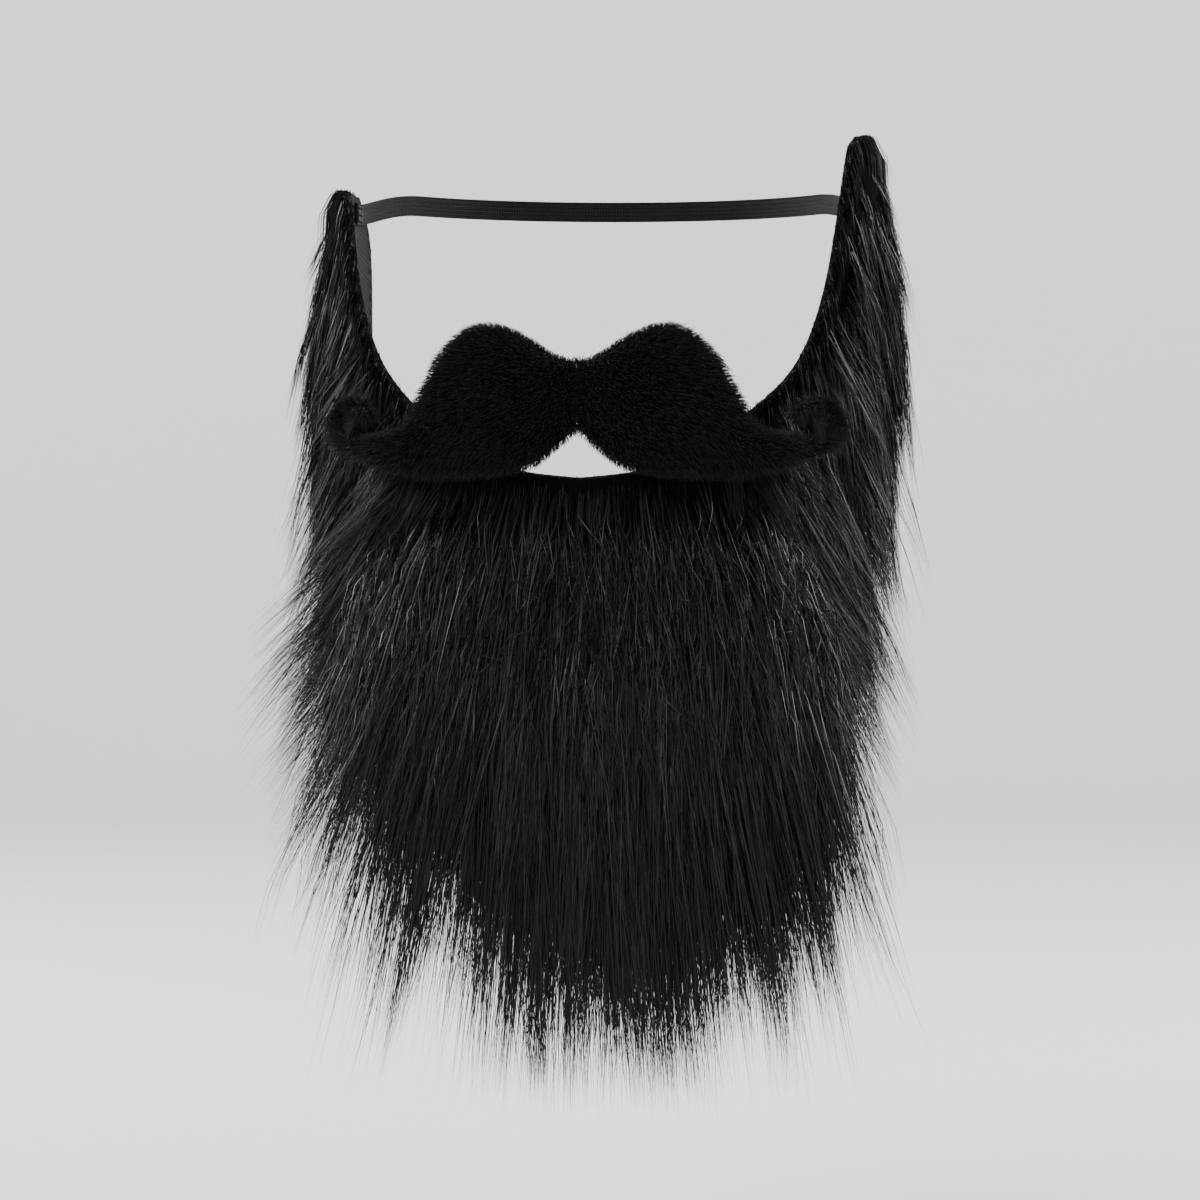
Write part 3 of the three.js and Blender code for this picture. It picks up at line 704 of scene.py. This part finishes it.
def coat_paths(low, high, locks, in_lock, longest, side_fan, wild_share=WILD_LOCKS):
    """Paths of the coat's hairs between two places along the band, which are below 0 at -X.

    side_fan is how far, in millimetres, a lock's tip may stray away from the middle.
    """
    along = random.uniform(low, high, locks)
    near_top = (random.random(locks) < TOP_LOCKS) & (max(-low, high) > NEAR_TOP)
    along = np.where(near_top, np.sign(along) * random.uniform(NEAR_TOP, 1, locks), along)
    across = random.random(locks) ** 0.9
    size = np.abs(along)
    length = mix(0.55, 1, smooth(0.02, 0.3, across))
    length = mix(length, 0.6, smooth(NEAR_TOP, 1, size)) * longest
    length = length * random.uniform(0.7, 1.25, locks)
    lift = random.uniform(0.6, 1.2, locks)
    wild = random.random(locks) < wild_share
    stray = np.where(wild, random.uniform(0.4, 1.2, locks), random.random(locks) ** 2 * 0.35)
    stray = stray * side_fan * mix(1, 0.35, smooth(0.55, 0.85, size))
    parts = [np.repeat(values, in_lock) for values in (along, across, length, lift, stray)]
    along, across, length, lift, stray = parts
    count = len(along)
    spread = random.normal(0, 1, (count, 2)) * (0.024, 0.05)
    root_along = np.clip(along + spread[:, 0], min(low, high), max(low, high))
    root_across = np.clip(across + spread[:, 1], *INSIDE_EDGES)
    turn, z = band_place(root_along, root_across)
    root = off_head(turn, z, np.full(count, ROOT_DEPTH))
    normal = head_normal(turn, z)
    middle = on_band(along, across, np.full(count, ROOT_DEPTH))
    t = np.linspace(0, 1, COAT_PLACES)[None, :, None]
    start = mix(root[:, None], middle[:, None], 0.7 * t**1.5)
    depth = (coat_depth(root_along, root_across) * lift)[:, None, None]
    outward = normal[:, None] * depth * (1 - (1 - t) ** 2)
    away = np.zeros((count, 1, 3))
    away[:, 0, 0] = np.sign(along) * (stray + np.abs(random.normal(0, 1, count)))
    length = (length * random.uniform(0.8, 1.12, count))[:, None, None]
    down = np.array([0, 0, -1.0])[None, None] * length * (t * 0.5 + t**2 * 0.5)
    return start + outward + away * t**2 + down


def side_hair(sign):
    """The hair of one cheek and its sideburn."""
    name = side_name(sign)
    low, high = sorted((sign * (CHEEK_JOIN - OVERLAP[0]), sign * SIDEBURN_END))
    paths = coat_paths(low, high, locks=400, in_lock=28, longest=46, side_fan=15)
    node = f"sideburn_fur_{name}"
    hair_piece(f"sideburn_hair_{name}", paths, COAT_WIDTH, hair_tones[0], node)


def chin_coat():
    """The shorter hair over the chin's long hair."""
    reach = CHEEK_JOIN + OVERLAP[1]
    paths = coat_paths(-reach, reach, locks=460, in_lock=30, longest=52, side_fan=10)
    hair_piece("chin_coat_hair", paths, COAT_WIDTH, hair_tones[1], "chin_fur")


def jaw_hair(name, low, high, locks, side_fan):
    """Locks that stand off the jaw and sweep outward, all of them wild."""
    paths = coat_paths(low, high, locks, 26, 54, side_fan, wild_share=1)
    hair_piece(f"jaw_hair_{name}", paths, JAW_WIDTH, hair_tones[1], "chin_fur")


EDGE_HAIRS = 10500
FACE_EDGE_SHARE = 0.72  # the rest stand at the jaw's edge
TOP_HAIRS = 0.2  # the share that closes the sideburns' tops
EDGE_STEP = 0.02  # across the band to each side, for the way out past its edge


def edge_hair():
    """Short hairs that lean over the cloth's edges and hide them."""
    count = EDGE_HAIRS
    along = random.uniform(-0.998, 0.998, count)
    face_side = random.random(count) < FACE_EDGE_SHARE
    near_face = random.uniform(0.0, 0.03, count)
    near_jaw = random.uniform(0.97, 1, count)
    across = np.where(face_side, near_face, near_jaw)
    on_top = random.random(count) < TOP_HAIRS
    along = np.where(on_top, np.sign(along) * random.uniform(0.975, 0.9995, count), along)
    across = np.where(on_top, random.random(count), across)
    turn, z = band_place(along, across)
    root = off_head(turn, z, random.uniform(0.1, CLOTH, count))
    normal = head_normal(turn, z)
    above = on_band(along, across - EDGE_STEP, 0 * along)
    below = on_band(along, across + EDGE_STEP, 0 * along)
    beyond = unit(above - below) * column(np.where(face_side, 1, -1))
    beyond = np.where(column(on_top), np.array([0, 0, 0.9]), beyond)
    size = column(random.uniform(0.5, 1.3, count))
    lift = random.uniform(0.05, 1, (count, 1))
    over = column(np.where(np.abs(along) < 0.3, 0.35, 1.0)) * size
    drop = np.array([0, 0, -1.0])[None] * column(np.where(on_top, 1.7, 1))
    stand = column(np.where(on_top, 2.4, 1))
    first = root + normal * 1.4 * size * lift * stand + beyond * 1.3 * over
    second = first + normal * 1.2 * size * lift * stand + beyond * 0.3 * over + drop * 3.2 * size
    third = second + normal * 0.6 - beyond * 0.4 * over + drop * 5.5 * size
    paths = np.stack([root, first, second, third], 1)
    widths = tapered(count, paths.shape[1], COAT_WIDTH)
    piece = hairs("edge_hair", paths, widths, unit(random.normal(size=(count, 3))))
    finish_piece(piece, hair_tones[1], "fur", "chin_fur")


# The moustache

LOBE_STEPS = 70
CURL_STEPS = 42
IN_CURL = LOBE_STEPS + 4  # beyond this row of the spine, the pile belongs to the curl
CURL_NARROWING = 0.27  # how much of its radius the curl loses to its end
CURL_END_DEPTH = 2.5
THINNEST = 0.3  # half the thickness that is left of the form when it is shrunk
PARTING_ROOM = 0.1  # between each half and the middle
PILE_HAIRS = 27500  # on one half
FILLING_HAIRS = 3500  # in one curl
PILE_WIDTH = 0.17
PILE_TIP = 0.3


def moustache_spine():
    """Arrays along one half: x, z, direction in the face's plane, half height, depth, lift."""
    out = np.linspace(0, LOBE[-1][0], LOBE_STEPS)
    level, height, depth, lift = (curve(LOBE, which)(out) for which in (1, 2, 3, 4))
    x = out * MOUSTACHE_REACH
    z = level * MOUSTACHE_LEVEL
    half = height * MOUSTACHE_HEIGHT / 2
    depth = depth * MOUSTACHE_DEPTH
    lift = lift * MOUSTACHE_LIFT
    t = np.linspace(0, 1, CURL_STEPS + 1)[1:]
    angle = np.radians(-90 + 360 * CURL_TURNS * t)
    radius = CURL_RADIUS * (1 - CURL_NARROWING * t)
    shift = mix(x[-1], MOUSTACHE_REACH, smooth(0, 0.2, t))
    curl_x = shift + radius * np.cos(angle)
    curl_z = z[-1] + CURL_RADIUS + radius * np.sin(angle)
    direction = np.stack([np.ones(len(x)), np.zeros(len(x))], 1)
    whole_x, whole_z = np.concatenate([x, curl_x]), np.concatenate([z, curl_z])
    turning = np.stack([np.gradient(whole_x), np.gradient(whole_z)], 1)[len(x):]
    direction = np.concatenate([direction, turning])
    return {
        "x": whole_x,
        "z": whole_z,
        "direction": unit(direction),
        "half": np.concatenate([half, mix(half[-1] * 0.92, 1, t**1.3)]),
        "depth": np.concatenate([depth, mix(depth[-1], CURL_END_DEPTH, t)]),
        "lift": np.concatenate([lift, np.full(len(t), lift[-1])]),
    }


def moustache_surface(sign, around, shrink):
    """Points of one half's surface, shrunk inward: a row for each place on its spine."""
    spine = moustache_spine()
    angle = np.linspace(0, 2 * math.pi, around, endpoint=False)[None]
    half = np.maximum(column(spine["half"]) - shrink, THINNEST)
    deep = np.maximum(column(spine["depth"]) / 2 - shrink, THINNEST)
    up = np.cos(angle) * half
    x = column(spine["x"]) - column(spine["direction"][:, 1]) * up
    x = np.maximum(x, PARTING_ROOM + PARTING_ROOM * shrink)
    z = column(spine["z"]) + column(spine["direction"][:, 0]) * up
    offset = column(spine["lift"]) + PATCH + GAP + column(spine["depth"]) / 2
    offset = offset + np.sin(angle) * deep
    return off_face(sign * x, z, offset)


def curl_filling(sign, count):
    """Paths of fine hairs that close the middle of the curled end."""
    spine = moustache_spine()
    row = random.integers(LOBE_STEPS + 3, len(spine["x"]), count)
    x, z, direction = spine["x"][row], spine["z"][row], spine["direction"][row]
    centre = (MOUSTACHE_REACH, LOBE[-1][1] * MOUSTACHE_LEVEL + CURL_RADIUS)
    reach = random.uniform(0.5, 1.15, count)
    swirl = random.uniform(-0.6, 2.2, count)
    t = np.linspace(0, 1, 3)[None]
    path_x = column(x) + column((centre[0] - x) * reach) * t
    path_z = column(z) + column((centre[1] - z) * reach) * t
    path_x = path_x + column(direction[:, 0] * swirl) * np.sin(math.pi * t / 1.3)
    path_z = path_z + column(direction[:, 1] * swirl) * np.sin(math.pi * t / 1.3)
    within = random.uniform(0.1, 0.9, count)
    depth = spine["lift"][row] + PATCH + GAP + spine["depth"][row] * within
    return off_face(sign * path_x, path_z, column(depth) + 0 * t)


def pile_paths(sign):
    """Paths of the short pile all over one half of the moustache."""
    count = PILE_HAIRS
    skin = moustache_surface(sign, 48, 1.1)
    inside = skin.mean(1, keepdims=True)
    rows, sides = skin.shape[:2]
    reach = np.linalg.norm(skin - inside, axis=-1).mean(1)
    chance = reach * np.where(np.arange(rows) > IN_CURL, 2.2, 1)
    row = random.choice(rows - 1, count, p=chance[:-1] / chance[:-1].sum())
    side = random.integers(0, sides, count)
    a, b = column(random.random(count)), column(random.random(count))
    next_side = (side + 1) % sides
    corner, over, ahead = skin[row, side], skin[row, next_side], skin[row + 1, side]
    root = mix(mix(corner, over, a), mix(ahead, skin[row + 1, next_side], a), b)
    normal = unit(np.cross(over - corner, ahead - corner))
    outward = root - inside[row, 0]
    normal = normal * np.sign((normal * outward).sum(-1, keepdims=True))
    along = unit(inside[row + 1, 0] - inside[row, 0])
    length = column(mix(1.9, 2.6, np.clip(reach[row] / reach.max(), 0, 1)))
    length = length * random.uniform(0.7, 1.2, (count, 1))
    length = np.where(column(row > IN_CURL), length * random.uniform(1, 2.1, (count, 1)), length)
    # the innermost hairs lie the other way and close the middle
    onward = column(mix(-0.6, 0.75, np.clip(row / 3, 0, 1)))
    lay = along * onward + np.array([0, 0, -0.25]) + random.normal(0, 0.2, (count, 3))
    first = root + normal * length * 0.5 + lay * length * 0.18
    second = root + normal * length * 0.82 + lay * length * 0.62
    return np.stack([root, first, second], 1)


def moustache_half(sign):
    """One half of the moustache: the foot of its pile, darker than the pile as painted shade, and
    the pile.
    """
    name = side_name(sign)
    node = f"moustache_fur_{name}"
    core = loft_solid(f"moustache_core_{name}", moustache_surface(sign, 36, 1.0))
    # The core is coloured darker than the pile as painted shade.
    finish_piece(core, painted_shade_roots, "short_fur", node)
    paths = np.concatenate([pile_paths(sign), curl_filling(sign, FILLING_HAIRS)])
    lean = unit(random.normal(size=(len(paths), 3)))
    widths = tapered(len(paths), paths.shape[1], PILE_WIDTH, PILE_TIP)
    piece = hairs(f"moustache_pile_{name}", paths, widths, lean)
    finish_piece(piece, pile_black, "short_fur", node)


# Cloth, elastic and stitches


def beard_ground():
    """The knitted ground of the beard's fur cloth."""
    steps, strips = 130, 24
    inner, outer = 0.15, CLOTH - 0.25
    columns, rows = np.linspace(-1, 1, steps), np.linspace(0, 1, strips)
    along, across = np.meshgrid(columns, rows, indexing="ij")
    wave = 0.22 * np.sin(along * 31) * np.sin(across * 7 + along * 5)
    lower = on_band(along, across, inner + 0 * along)
    upper = on_band(along, across, outer + wave * 0.5)
    piece = turned_out(grid_solid("beard_ground", lower, upper))
    middle = (lower + upper) / 2
    run = np.linalg.norm(np.diff(middle, axis=0), axis=-1).mean(1)
    u = np.concatenate([[0], np.cumsum(run)])
    width = np.linalg.norm(np.diff(middle, axis=1), axis=-1)
    v = np.concatenate([np.zeros((steps, 1)), np.cumsum(width, 1)], 1)
    cloth_uv(piece, np.tile(np.repeat(u, strips), 2) * MM, np.tile(v.ravel(), 2) * MM)
    finish_piece(piece, knit_black, "backing", "beard_backing")


def moustache_ground():
    """The cloth behind the moustache."""
    skin = 0.1  # how far each face lies inside the solid's
    level, height = (curve(PATCH_OUTLINE, which) for which in (1, 2))
    reach = PATCH_OUTLINE[-1][0]
    columns, rows = np.linspace(-reach, reach, 120), np.linspace(-1, 1, 34)
    signed, up = np.meshgrid(columns, rows, indexing="ij")
    out = np.abs(signed)
    half = height(out) * MOUSTACHE_HEIGHT / 2
    z = level(out) * MOUSTACHE_LEVEL + up * half
    step = (CLOTH + GAP) * smooth(*PATCH_ON_BEARD, out)
    x = signed * MOUSTACHE_REACH
    lower = off_face(x, z, step + skin)
    upper = off_face(x, z, step + PATCH - skin)
    piece = turned_out(grid_solid("moustache_ground", lower, upper))
    cloth_uv(piece, np.tile(x.ravel(), 2) * MM, np.tile((up * half).ravel(), 2) * MM)
    finish_piece(piece, knit_black, "backing", "moustache_backing")


ELASTIC_START = 86  # the turn of the head where it begins, inside the sideburn
ELASTIC_RIBS = 9
RIB_HEIGHT = 0.09
RIB_INSET = 0.14  # the ribs' mean height lies this far inside the solid's faces


def elastic_line(turn, across, depth):
    """A place on the elastic: across from -1 to 1 of its width, depth above its inner face."""
    from_end = np.minimum(turn, 360 - turn) - ELASTIC_START
    z = SIDEBURN_TOP - 0.9 * ELASTIC_WIDTH + ELASTIC_RISE * smooth(4, 38, from_end)
    z = z + across * ELASTIC_WIDTH / 2
    return off_head(turn, z, -GAP - ELASTIC_THICKNESS + depth)


def elastic_profile():
    """Pairs of across and depth round the elastic's section: its outer face, then its inner one."""
    places = np.linspace(-1, 1, ELASTIC_RIBS * 2 + 1)
    ribs = RIB_HEIGHT * np.cos(places * math.pi * ELASTIC_RIBS)
    outer = list(zip(places, ELASTIC_THICKNESS - RIB_INSET + ribs))
    inner = list(zip(places, RIB_INSET - ribs))
    return outer + inner[::-1]


def elastic():
    """The woven elastic, ribbed along its length."""
    steps = 200
    profile = elastic_profile()
    turn = np.linspace(ELASTIC_START, 360 - ELASTIC_START, steps)
    rings = np.stack([elastic_line(turn, a, np.full(steps, d)) for a, d in profile], 1)
    piece = loft_solid("elastic_ribbon", rings)
    run = np.linalg.norm(np.diff(rings.mean(1), axis=0), axis=-1)
    u = np.concatenate([[0], np.cumsum(run)])
    v = np.array([across * ELASTIC_WIDTH / 2 for across, depth in profile])
    u = np.concatenate([np.repeat(u, len(profile)), [0, u[-1]]]) * MM
    v = np.concatenate([np.tile(v, steps), [0, 0]]) * MM
    cloth_uv(piece, u, v)
    finish_piece(piece, elastic_black, "elastic", "elastic_band")


THREAD_SIDES = 5


def threads(name, paths, width):
    """Short round threads along the paths, closed at both ends."""
    sides = THREAD_SIDES
    count, places = paths.shape[:2]
    tangent = unit(np.gradient(paths, axis=1))
    side = unit(np.cross(tangent, np.array([0.3, 0.2, 0.9])))
    up = np.cross(tangent, side)
    angle = np.linspace(0, 2 * math.pi, sides, endpoint=False)
    ring = side[:, :, None] * np.cos(angle)[:, None] + up[:, :, None] * np.sin(angle)[:, None]
    points = (paths[:, :, None] + ring * width / 2).reshape(count, -1, 3)
    quads = []
    for r in range(places - 1):
        for i in range(sides):
            j = (i + 1) % sides
            quads.append((r * sides + i, r * sides + j, (r + 1) * sides + j, (r + 1) * sides + i))
    caps = []
    end = (places - 1) * sides
    for i in range(1, sides - 1):
        caps.append((0, i + 1, i))
        caps.append((end, end + i, end + i + 1))
    first = (np.arange(count) * points.shape[1])[:, None, None]
    return mesh_from(name, points.reshape(-1, 3), np.array(quads) + first, np.array(caps) + first)


def elastic_stitches():
    """A zigzag that holds each end of the elastic to the sideburn's cloth."""
    zigzags, stitches, slant = 3, 5, 1.3
    first, pitch = 1.2, 2.2  # degrees from the elastic's end, and from one zigzag to the next
    low, stride = -0.8, 0.32  # across the elastic
    t = np.linspace(0, 1, 6)
    depth = 0.1 - 0.32 * np.sin(math.pi * np.clip(t, 0.02, 0.98))
    paths = []
    for side in (1, -1):
        for zigzag in range(zigzags):
            for stitch in range(stitches):
                lean = slant if stitch % 2 else -slant
                turn = ELASTIC_START + first + zigzag * pitch + lean * (t - 0.5)
                turn = turn if side > 0 else 360 - turn
                across = mix(low + stitch * stride, low + (stitch + 1) * stride, t)
                paths.append(elastic_line(turn, across, depth))
    piece = threads("elastic_stitches", np.array(paths), width=0.5)
    finish_piece(piece, thread_black, "elastic")


def seam_stitches():
    """Running stitches along the cloth's edges."""
    stitches, reach = 130, 0.0085
    t = np.linspace(0, 1, 5)
    depth = 0.16 - 0.34 * np.sin(math.pi * t)
    paths = []
    for edge in (0.045, 0.955):
        for start in np.linspace(-0.97, 0.965, stitches):
            paths.append(on_band(start + reach * t, np.full(len(t), edge), depth))
    piece = threads("edge_stitches", np.array(paths), width=0.4)
    finish_piece(piece, thread_black, "backing")


chin_roots()
coat_roots("chin_coat_roots", -CHEEK_JOIN, CHEEK_JOIN, "chin_fur")
coat_roots("sideburn_roots_left", -ROOTS_END, -CHEEK_JOIN, "sideburn_fur_left")
coat_roots("sideburn_roots_right", CHEEK_JOIN, ROOTS_END, "sideburn_fur_right")
long_hair()
chin_coat()
side_hair(-1)
side_hair(1)
jaw_hair("left", -0.5, -0.34, locks=76, side_fan=28)
jaw_hair("right", 0.34, 0.5, locks=56, side_fan=18)
edge_hair()
moustache_half(-1)
moustache_half(1)
beard_ground()
moustache_ground()
elastic()
elastic_stitches()
seam_stitches()


# Floor, light and camera


def plain(name, colour, roughness):
    """An even surface."""
    material, shader = new_material(name)
    shader.inputs["Base Color"].default_value = (*colour, 1)
    shader.inputs["Roughness"].default_value = roughness
    return material


def studio():
    """A pale round floor below the beard that curves up into a low wall far around it."""
    floor, reach, bend, top, sides = -200, 2600, 600, 1100, 72
    profile = [(0, floor), (400, floor), (reach, floor)]
    for angle in np.linspace(0, 90, 16)[1:]:
        turn = math.radians(angle)
        profile.append((reach + bend * math.sin(turn), floor + bend * (1 - math.cos(turn))))
    profile.append((reach + bend, top))
    angle = np.linspace(0, 2 * math.pi, sides, endpoint=False)
    radius, height = np.array(profile, float).T
    x = radius[:, None] * np.cos(angle)
    y = radius[:, None] * np.sin(angle)
    points = np.stack([x, y, height[:, None] + 0 * x], -1)
    ring, side = np.meshgrid(np.arange(len(profile) - 1), np.arange(sides), indexing="ij")
    near = ring * sides + side
    far = ring * sides + (side + 1) % sides
    quads = np.stack([near, near + sides, far + sides, far], -1)
    sweep = mesh_from("studio_sweep", points.reshape(-1, 3), quads, [])
    sweep.data.materials.append(plain("pale_paper", (0.92, 0.92, 0.92), 0.9))


def area_light(name, place, size, power):
    """A round light that faces the origin: its place and size in metres, its power in watts."""
    data = bpy.data.lights.new(name, "AREA")
    data.shape = "DISK"
    data.size = size
    data.energy = power
    light = bpy.data.objects.new(name, data)
    bpy.context.scene.collection.objects.link(light)
    light.location = place
    light.rotation_euler = (-Vector(place)).to_track_quat("-Z", "Y").to_euler()


def lights():
    """A pale sky, two lights in front and one behind each side."""
    world = bpy.data.worlds.new("studio_world")
    world.use_nodes = True
    world.node_tree.nodes["Background"].inputs["Color"].default_value = (1, 1, 1, 1)
    world.node_tree.nodes["Background"].inputs["Strength"].default_value = 0.95
    bpy.context.scene.world = world
    area_light("key", (-1.2, -2.08, 1.52), 1.12, 66)
    area_light("fill", (1.76, -1.92, 0.56), 1.44, 26)
    area_light("rim_left", (-1.44, 1.12, 0.8), 0.8, 31)
    area_light("rim_right", (1.44, 1.12, 0.8), 0.8, 31)


CAMERA_TURN = 4.5
CAMERA_RISE = 1.0
CAMERA_FAR = 1.55
SENSOR = 36
PHOTO_WIDTH = 0.3297  # metres that the photograph spans where the chin is
ORIGIN_LEFT = 0.0055  # the origin stands this far left of the photograph's middle


def camera():
    """The photograph's view, slightly from the side and from above."""
    data = bpy.data.cameras.new("camera")
    data.sensor_width = SENSOR
    data.lens = SENSOR * CAMERA_FAR / PHOTO_WIDTH
    made = bpy.data.objects.new("camera", data)
    bpy.context.scene.collection.objects.link(made)
    turn, rise = math.radians(CAMERA_TURN), math.radians(CAMERA_RISE)
    right = Vector((math.cos(turn), math.sin(turn), 0))
    level = Vector((math.sin(turn), -math.cos(turn), 0))
    back = level * math.cos(rise) + Vector((0, 0, math.sin(rise)))
    aim = right * ORIGIN_LEFT
    made.location = aim + back * CAMERA_FAR
    made.rotation_euler = (-back).to_track_quat("-Z", "Y").to_euler()
    bpy.context.scene.camera = made


studio()
lights()
camera()
